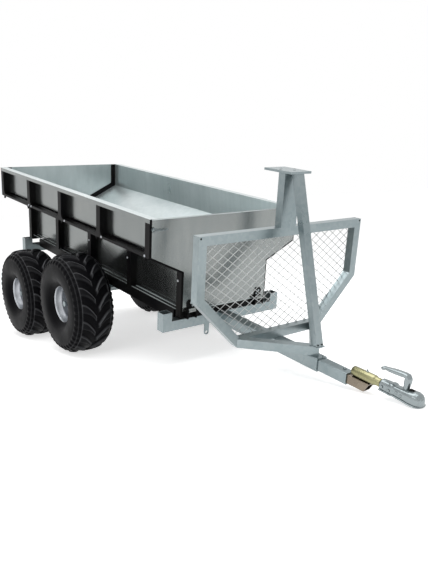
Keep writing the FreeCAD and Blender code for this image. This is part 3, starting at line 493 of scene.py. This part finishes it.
for end in ("front", "rear"):
    for word, side in (("left", 1), ("right", -1)):
        body = "%s_%s_wheel" % (end, word)
        hub = np.array(joints[body + "_spin"]["pos_m"])
        tyrePiece("tyreTread_%s_%s" % (end, word), body, hub, side, "tyre_%s_%s" % (end, word))
        rimPiece("rimDish_%s_%s" % (end, word), body, hub, side, "rim_%s_%s" % (end, word))
print("tyres and rims made")


meshSizes = dict(plane=381.0, half=445.0, footHalf=236.0, low=36.0, shoulder=254.0, top=484.0,
                 middle=260.0,
                 wide=55.0, tall=39.0, wire=1.5, reach=34)


# Shortens a line to the guard's hexagon by its half-planes a.y + b.z <= c.
def clipToGuard(first, last):
    m = meshSizes
    slopeY, slopeZ = m["shoulder"] - m["low"], m["half"] - m["footHalf"]
    planes = [(0, 1, m["top"]), (0, -1, -m["low"]), (1, 0, m["half"]), (-1, 0, m["half"]),
              (slopeY, -slopeZ, slopeY * m["half"] - slopeZ * m["shoulder"]),
              (-slopeY, -slopeZ, slopeY * m["half"] - slopeZ * m["shoulder"])]
    t0, t1 = 0.0, 1.0
    way = last - first
    for a, b, c in planes:
        rate = a * way[0] + b * way[1]
        room = c - a * first[0] - b * first[1]
        if abs(rate) < 1e-9:
            if room < 0:
                return None
        elif rate > 0:
            t1 = min(t1, room / rate)
        else:
            t0 = max(t0, room / rate)
    return (first + way * t0, first + way * t1) if t1 - t0 > 0.01 else None


# Two layers of straight wires that cross, cut to the guard's opening.
def guardWires():
    heap = Heap()
    m = meshSizes
    rise = m["tall"] / m["wide"]
    for lean, depth in ((1, 0.0), (-1, 2.6)):
        for k in range(-m["reach"], m["reach"] + 1):
            middle = np.array([k * m["wide"], m["middle"]])
            reach = m["half"] * 2 * np.array([1, lean * rise])
            ends = clipToGuard(middle - reach, middle + reach)
            if ends is None:
                continue
            path = [(m["plane"] + depth, *ends[0]), (m["plane"] + depth, *((ends[0] + ends[1]) / 2)),
                    (m["plane"] + depth, *ends[1])]
            points, faces = sweep(path, m["wire"], sides=6)
            heap.add(settle(points), faces)
    piece = meshPiece("guardWires", heap.verts(), heap.faces, wireZinc, "frame")
    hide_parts("guard_mesh")


guardWires()
print("guard mesh made")


# A closed prism from an outline in two axes, carried along the third: p = (u, v) + w * axis.
def prismSurface(outline, axes, start, end):
    outline = np.asarray(outline, float)
    count = len(outline)
    points = np.zeros((2, count, 3))
    points[:, :, axes[0]] = outline[:, 0]
    points[:, :, axes[1]] = outline[:, 1]
    along = 3 - axes[0] - axes[1]
    points[0, :, along], points[1, :, along] = start, end
    return points.reshape(-1, 3), gridFaces(2, count, wrapCols=True).tolist() + endCaps(2, count)


# A turned stud, bolt head or disc: revolves (radius, along) about an axis through a spot.
def studSurface(spot, axis, profile, steps=16):
    points, faces = turnedSurface(np.asarray(profile, float), steps, closed=False)
    order = {1: (1, 0, 2), 2: (0, 1, 2), 3: (0, 2, 1)}[abs(axis)]
    turned = points[..., order].reshape(-1, 3)
    if axis < 0:
        turned[:, -axis - 1] *= -1
    return turned + np.asarray(spot, float), faces.tolist() + endCaps(len(profile), steps)


# Several studs as one piece.
def addStuds(name, material, body, studs):
    heap = Heap()
    for spot, axis, profile, steps in studs:
        points, faces = studSurface(spot, axis, profile, steps)
        heap.add(settle(points), faces)
    return meshPiece(name, heap.verts(), heap.faces, material, body, smooth=False)


hexHead = [(0.2, 0.0), (7.5, 0.0), (7.5, 4.2), (6.2, 5.2), (0.2, 5.2)]
domeHead = [(0.2, 0.0), (6.5, 0.0), (6.0, 2.0), (4.0, 3.6), (0.2, 4.2)]
boreDisc = [(0.2, 0.0), (4.4, 0.0), (4.2, 0.35), (0.2, 0.35)]

# Rounded inner corners of the black side frames, above and below the strap, and their rivets.
frameCorners = dict(half=455.0, shelf=326.0, strap=13.0, radius=28.0, lowRadius=17.0, thick=12.0,
                    bays=((-482.0, -40.0), (-957.0, -522.0), (-1420.0, -997.0), (-1880.0, -1460.0)))


# Concave corner: the two legs and the arc c + r (1 - sin t, 1 - cos t) between them.
def cornerOutline(corner, way, radius):
    t = np.linspace(0, math.pi / 2, 9)
    arc = radius * np.stack([1 - np.sin(t), 1 - np.cos(t)], axis=1)
    outline = np.vstack([[-1.5, -1.5], [radius, -1.5], arc, [-1.5, radius]])
    return outline * np.array(way) + np.array(corner)


# Corner fillets, rivets and the edge beads of one side of the box; the beads are a painted highlight in the lighter
# sheet zinc.
def sideCorners(word, side):
    heap = Heap()
    c = frameCorners
    y0, y1 = sorted((side * (c["half"] - 0.3), side * (c["half"] - c["thick"])))
    for rear, front in c["bays"]:
        for x, way in ((rear, 1), (front, -1)):
            upper = cornerOutline((x, c["shelf"] + c["strap"]), (way, 1), c["radius"])
            lower = cornerOutline((x, c["shelf"]), (way, -1), c["lowRadius"])
            for outline in (upper, lower):
                points, faces = prismSurface(outline, (0, 2), y0, y1)
                heap.add(settle(points), faces)
    meshPiece("sideCorners_" + word, heap.verts(), heap.faces, blackPaint, "box", smooth=False)
    studs = [((x, side * c["half"], c["shelf"] + 8), 2 * side, domeHead, 12) for x in (-1399, -1440, -910, -466, -40)]
    studs += [((x, side * 271.0, 191.0), 2 * side, domeHead, 12) for x in (-519, -30, -977)]
    addStuds("frameRivets_" + word, rimSilver, "box", studs)
    # Two thin beads in the lighter sheet zinc: a painted highlight along the lower sheet edges.
    beads = Heap()
    for y, z, r in ((235.5, 39.0, 2.0), (262.0, 38.4, 1.5)):
        points, faces = sweep([(-1872, side * y, z), (-900, side * y, z), (-44, side * y, z)], r, 8)
        beads.add(settle(points), faces)
    meshPiece("sheetEdges_" + word, beads.verts(), beads.faces, litSheetZinc, "box")


for word, side in (("left", 1), ("right", -1)):
    sideCorners(word, side)
print("side frame corners made")

# Front gate: hemmed top edge, black hinge straps with bolts, locking pins with rings and chains.
gateTrim = dict(face=4.0, half=445.0, top=511.0, hem=2.4, strapLow=43.0, strapTop=97.0, strapHalf=21.0,
                lug=216.0, pinHeight=464.0, pinSide=448.0, ring=11.0, wire=1.7, links=6, linkLong=15.0)


# One chain link: a closed path with two straight sides and round ends, in the plane given.
def linkPath(centre, length, width, flat):
    t = np.linspace(0, 2 * math.pi, 20, endpoint=False)
    across = width / 2 * np.sin(t)
    along = (length - width) / 2 * np.sign(np.cos(t)) + width / 2 * np.cos(t)
    zero = np.zeros_like(t)
    loop = np.stack([zero, along, across], axis=1) if flat else np.stack([across, along, zero], axis=1)
    return loop + np.asarray(centre, float)


# The gate's hem, hinge straps, bolts, and both pins with a ring and a chain; the hem is a painted highlight in the
# lighter sheet zinc.
def gateDetails():
    g = gateTrim
    hem, faces = sweep([(g["face"] - 1.5, -g["half"], g["top"] - 2.4), (g["face"] - 1.5, 0, g["top"] - 2.4),
                        (g["face"] - 1.5, g["half"], g["top"] - 2.4)], g["hem"], 10)
    meshPiece("gateHem", settle(hem), faces, litSheetZinc, "front_gate")
    straps, bolts, rings = Heap(), [], Heap()
    for side in (1, -1):
        y = side * g["lug"]
        outline = [(y - g["strapHalf"], g["strapLow"]), (y + g["strapHalf"], g["strapLow"]),
                   (y + g["strapHalf"], g["strapTop"] - 12), (y + g["strapHalf"] - 10, g["strapTop"]),
                   (y - g["strapHalf"] + 10, g["strapTop"]), (y - g["strapHalf"], g["strapTop"] - 12)]
        points, faces = prismSurface(outline, (1, 2), g["face"], g["face"] + 5.0)
        straps.add(settle(points), faces)
        bolts.append(((g["face"] + 5.0, y, 82.0), 1, hexHead, 6))
        bolts.append(((g["face"] + 5.0, y - 11 * side, 66.0), 1, domeHead, 12))
        x = g["face"] + 4.0
        bolts.append(((g["face"], side * g["pinSide"] * 0.985, g["pinHeight"]), 1,
                      [(0.2, 0), (9, 0), (9, 2), (4.5, 2.6), (4.5, 10), (0.2, 10)], 16))
        t = np.linspace(0, 2 * math.pi, 28, endpoint=False)
        centre = np.array([x + 4, side * (g["pinSide"] - 12), g["pinHeight"] - 3])
        ring = centre + np.stack([0 * t, g["ring"] * np.cos(t), g["ring"] * np.sin(t)], axis=1)
        points, faces = sweep(ring, g["wire"], 8, closed=True)
        rings.add(settle(points), faces)
        for k in range(g["links"]):
            spot = (x + 2, side * (g["pinSide"] - 27 - k * (g["linkLong"] - 4.4)),
                    g["pinHeight"] - 3 - 1.5 * math.sin(math.pi * k / (g["links"] - 1)))
            points, faces = sweep(linkPath(spot, g["linkLong"], 8.4, k % 2 == 0), 1.3, 6, closed=True)
            rings.add(settle(points), faces)
    meshPiece("gateStraps", straps.verts(), straps.faces, blackPaint, "front_gate", smooth=False)
    meshPiece("gatePinRings", rings.verts(), rings.faces, brightZinc, "front_gate")
    addStuds("gateBolts", brightZinc, "front_gate", bolts)


gateDetails()
print("gate details made")

# Coupling: pressed clamp and head lofted along the drawbar, a rolled lip, and a grip handle.
couplingStations = np.array([
    # ahead, half width, bottom, top, squareness
    [1010.0, 19.0, -5.0, 30.0, 2.2], [1013.0, 22.0, -9.0, 34.0, 2.3], [1030.0, 22.5, -9.0, 35.0, 2.4],
    [1052.0, 23.0, -9.0, 35.5, 2.6], [1062.0, 25.0, -9.0, 37.5, 2.7], [1070.0, 25.0, -9.0, 37.0, 2.8],
    [1078.0, 21.0, -9.0, 32.0, 3.0], [1096.0, 23.0, -9.0, 33.0, 3.0], [1126.0, 26.5, -9.0, 35.5, 2.8],
    [1150.0, 30.5, -9.0, 40.0, 2.5], [1168.0, 31.0, -9.0, 42.0, 2.3], [1183.0, 28.0, -9.0, 38.5, 2.2],
    [1193.0, 21.0, -9.0, 31.0, 2.1], [1199.0, 12.0, -9.0, 21.0, 2.1], [1201.0, 4.0, -8.0, 14.0, 2.0]])
handleStations = np.array([
    # ahead, height, half width, half thickness
    [1003.0, 72.0, 4.0, 3.5], [1003.6, 75.0, 10.0, 6.5], [1010.0, 78.5, 12.0, 8.5], [1018.0, 81.0, 10.0, 6.0],
    [1035.0, 82.0, 13.0, 7.5], [1060.0, 84.0, 15.0, 9.5], [1085.0, 86.0, 15.0, 10.0], [1108.0, 87.5, 15.0, 9.5],
    [1120.0, 86.0, 15.0, 10.0], [1124.0, 77.0, 14.5, 13.0], [1123.0, 66.0, 13.5, 14.0], [1122.0, 54.0, 12.5, 12.5],
    [1121.0, 43.0, 11.5, 11.5], [1120.0, 32.0, 11.0, 11.0]])


# Superellipse rings: y = w |cos a|^(2/n), z = centre + h |sin a|^(2/n), signs kept.
# The lower half has its own high n, so its sides stand upright down to the lip.
def loftSurface(stations, steps, finer):
    t = np.linspace(0, len(stations) - 1, (len(stations) - 1) * finer + 1)
    k = np.arange(len(stations))
    x, w, low, high, n = (np.interp(t, k, stations[:, i])[:, None] for i in range(5))
    a = np.linspace(0, 2 * math.pi, steps, endpoint=False)[None, :]
    n = np.where(np.sin(a) < 0, 9.0, n)
    y = w * np.sign(np.cos(a)) * np.abs(np.cos(a)) ** (2 / n)
    z = (low + high) / 2 + (high - low) / 2 * np.sign(np.sin(a)) * np.abs(np.sin(a)) ** (2 / n)
    points = np.stack([x + 0 * a, y, z], axis=-1)
    return points.reshape(-1, 3), gridFaces(len(t), steps, wrapCols=True).tolist() + endCaps(len(t), steps)


# A flat bar along a path in the X-Z plane: the ring is an ellipse-square of half width by half thickness.
def barSurface(stations, steps, finer):
    t = np.linspace(0, len(stations) - 1, (len(stations) - 1) * finer + 1)
    k = np.arange(len(stations))
    x, z, w, h = (np.interp(t, k, stations[:, i]) for i in range(4))
    dx, dz = np.gradient(x), np.gradient(z)
    length = np.hypot(dx, dz)
    nx, nz = (-dz / length)[:, None], (dx / length)[:, None]
    a = np.linspace(0, 2 * math.pi, steps, endpoint=False)[None, :]
    across = w[:, None] * np.sign(np.cos(a)) * np.abs(np.cos(a)) ** 0.7
    lift = h[:, None] * np.sign(np.sin(a)) * np.abs(np.sin(a)) ** 0.7
    points = np.stack([x[:, None] + nx * lift, across, z[:, None] + nz * lift], axis=-1)
    return points.reshape(-1, 3), gridFaces(len(t), steps, wrapCols=True).tolist() + endCaps(len(t), steps)


# The pressed shell with its lip, the handle, the bolts and the slot, a thin black plate of painted shade.
def couplingHead():
    heap = Heap()
    points, faces = loftSurface(couplingStations, 40, 5)
    heap.add(settle(points), faces)
    s = couplingStations[1:-1]
    edge = np.stack([s[:, 0], s[:, 1] + 2.6, 0 * s[:, 0] - 5.8], axis=1)
    fine = np.linspace(0, len(edge) - 1, 60)
    edge = np.stack([np.interp(fine, np.arange(len(edge)), edge[:, i]) for i in range(3)], axis=1)
    tip = np.array([[1199.2, 8.0, -6.2], [1199.4, 0.0, -6.2], [1199.2, -8.0, -6.2]])
    path = np.vstack([edge[:-3], tip, (edge * [1, -1, 1])[::-1][3:]])
    points, faces = sweep(path, 3.1, 8)
    heap.add(settle(points), faces)
    piece = meshPiece("couplingShell", heap.verts(), heap.faces, brightZinc, "coupling")
    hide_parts("coupling_head")
    points, faces = barSurface(handleStations, 24, 5)
    grip = meshPiece("couplingGrip", settle(points), faces, brightZinc, "coupling")
    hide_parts("coupling_handle")
    boltSpots = ((1024.0, 21.8, 10.0, hexHead, 6), (1058.0, 23.3, 8.0, hexHead, 6),
                 (1094.0, 22.0, 14.0, domeHead, 14), (1116.0, 24.4, 10.0, domeHead, 14))
    studs = [((x, side * y, z), 2 * side, head, steps) for side in (1, -1) for x, y, z, head, steps in boltSpots]
    addStuds("couplingBolts", brightZinc, "coupling", studs)
    points, faces = prismSurface([(1136, -8), (1158, -8), (1158, 8), (1136, 8)], (0, 1), 39.2, 41.6)
    meshPiece("couplingSlot", settle(points), faces, boreShade, "coupling", smooth=False)


# Yellow swivel tube: a turned body with a stepped nose, a grease nipple and a cross hole drawn as a black disc of
# painted shade.
def swivelBody():
    profile = [(13.2, 866), (18.5, 866), (20.4, 868), (20.4, 886), (21, 888), (21, 974), (20.4, 977), (17.6, 981),
               (17.2, 986), (17.2, 1004), (16, 1007), (13.2, 1007)]
    points, faces = turnedSurface(np.array(profile), 48)
    points = points.reshape(-1, 3)[:, [1, 0, 2]] + np.array([0, 0, 11.0])
    piece = meshPiece("swivelBody", settle(points), faces, yellowZinc, "frame")
    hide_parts("swivel_tube")
    nipple = [(0.2, 0), (5, 0), (5, 3), (3, 4), (3, 7), (3.6, 8.5), (2.4, 10), (0.2, 10.4)]
    addStuds("swivelNipple", brightZinc, "frame", [((934, 0, 31.5), 3, nipple, 12)])
    addStuds("swivelHole", boreShade, "frame", [((908, -20.4, 11.0), -2, boreDisc, 16)])


couplingHead()
swivelBody()
print("coupling made")

# Drawbar bolts, the tubes' drain holes as black discs of painted shade, and the ring plate under the front bunk.
tubeStuds = [((813, 8, -5.2), 3, hexHead, 6), ((685, 14, 0.0), 3, domeHead, 12)]
tubeBores = [((417.0, -474, 511), 1), ((417.0, 474, 511), 1), ((417.0, -244, 12), 1), ((417.0, 244, 12), 1),
             ((655 + 16.6, -12, 52), 1), ((655 + 16.6, 12, 52), 1)]
addStuds("drawbarBolts", brightZinc, "frame", tubeStuds)
addStuds("drainHoles", boreShade, "frame", [(spot, axis, boreDisc, 14) for spot, axis in tubeBores])

ringPlate = dict(ahead=-22.0, thick=6.0, middle=-92.0, low=-104.0, top=-49.0, half=14.0, hole=8.0)


# Plate with a round eye. At angle a about the eye the outline lies half away below it, and
# min(half / |cos a|, height / sin a) away above it.
def ringPlateSurface():
    r = ringPlate
    a = np.linspace(0, 2 * math.pi, 72, endpoint=False)
    circle = np.stack([np.cos(a), np.sin(a)], axis=1)
    straight = np.minimum(r["half"] / np.maximum(np.abs(np.cos(a)), 0.01),
                          (r["top"] - r["low"]) / np.maximum(np.sin(a), 0.01))
    outer = circle * np.where(np.sin(a) > 0, straight, r["half"])[:, None]
    inner = circle * r["hole"]
    rings = []
    for shape, x in ((outer, 0), (outer, r["thick"]), (inner, r["thick"]), (inner, 0)):
        rings.append(np.stack([r["ahead"] + x + 0 * a, r["middle"] + shape[:, 0], r["low"] + shape[:, 1]], axis=1))
    return np.array(rings), gridFaces(4, len(a), wrapRows=True, wrapCols=True)


points, faces = ringPlateSurface()
meshPiece("bunkRing", settle(points.reshape(-1, 3)), faces, tubeZinc, "frame", smooth=False)
print("small parts made")


# Pale floor. What the camera sees gets a share of its own light, so that the open floor is
# white and only the soft shadow under the wheels stays.
stageLook = dict(size=40.0, colour=(0.88, 0.88, 0.88, 1), seenGlow=0.62)


def stagePlane():
    mesh = bpy.data.meshes.new("studioFloor")
    size = stageLook["size"]
    mesh.from_pydata([(-size, -size, 0), (size, -size, 0), (size, size, 0), (-size, size, 0)], [], [(0, 1, 2, 3)])
    floor = bpy.data.objects.new("studioFloor", mesh)
    bpy.context.scene.collection.objects.link(floor)
    material = bpy.data.materials.new("paleFloor")
    material.use_nodes = True
    tree = material.node_tree
    shader = tree.nodes["Principled BSDF"]
    shader.inputs["Base Color"].default_value = stageLook["colour"]
    shader.inputs["Roughness"].default_value = 0.9
    shader.inputs["Specular IOR Level"].default_value = 0.1
    shader.inputs["Emission Color"].default_value = (1, 1, 1, 1)
    path = tree.nodes.new("ShaderNodeLightPath")
    seen = mathNode(tree, "MAXIMUM", path.outputs["Is Camera Ray"], path.outputs["Is Glossy Ray"])
    glow = mathNode(tree, "MULTIPLY", seen, stageLook["seenGlow"])
    tree.links.new(glow, shader.inputs["Emission Strength"])
    mesh.materials.append(material)


# One soft rectangular lamp that faces its target.
def areaLight(name, place, target, size, power):
    light = bpy.data.lights.new(name, "AREA")
    light.shape, light.size, light.size_y, light.energy = "RECTANGLE", size[0], size[1], power
    lamp = bpy.data.objects.new(name, light)
    lamp.location = place
    lamp.rotation_euler = (Vector(target) - Vector(place)).to_track_quat("-Z", "Y").to_euler()
    bpy.context.scene.collection.objects.link(lamp)


# Pale world: white where the camera and mirrors see it, plain grey for light.
def studioWorld():
    world = bpy.data.worlds.new("studioWorld")
    bpy.context.scene.world = world
    world.use_nodes = True
    tree = world.node_tree
    background = tree.nodes["Background"]
    path = tree.nodes.new("ShaderNodeLightPath")
    seen = mathNode(tree, "MAXIMUM", path.outputs["Is Camera Ray"], path.outputs["Is Glossy Ray"])
    strength = mathNode(tree, "MULTIPLY_ADD", seen, 0.55)
    strength.node.inputs[2].default_value = 0.45
    background.inputs["Color"].default_value = (1, 1, 1, 1)
    tree.links.new(strength, background.inputs["Strength"])


cameraView = dict(place=(2.896, -1.924, 0.836), azimuth=53.53, elevation=-8.32, roll=-3.78, lens=39.72)


# Looks along azimuth and elevation, then rolls about its own axis.
def makeCamera():
    a, e, r = (math.radians(cameraView[key]) for key in ("azimuth", "elevation", "roll"))
    look = Vector((-math.sin(a) * math.cos(e), math.cos(a) * math.cos(e), math.sin(e)))
    right = Vector((math.cos(a), math.sin(a), 0))
    up = right.cross(look)
    turnedRight = right * math.cos(r) + up * math.sin(r)
    turnedUp = up * math.cos(r) - right * math.sin(r)
    data = bpy.data.cameras.new("viewer")
    data.lens = cameraView["lens"]
    data.sensor_width = 36.0
    data.clip_end = 200.0
    camera = bpy.data.objects.new("viewer", data)
    axes = Matrix((turnedRight, turnedUp, -look)).transposed()
    camera.matrix_world = Matrix.Translation(Vector(cameraView["place"])) @ axes.to_4x4()
    bpy.context.scene.collection.objects.link(camera)
    bpy.context.scene.camera = camera


stagePlane()
areaLight("topLight", (-0.2, -0.1, 3.6), (-0.2, 0, 0), (4.6, 3.4), 115.0)
areaLight("sideLight", (1.0, -4.2, 2.6), (-0.2, 0, 0.4), (2.4, 1.6), 22.0)
studioWorld()
makeCamera()
bpy.context.scene.view_settings.view_transform = "Standard"
print("stage, light and camera set")
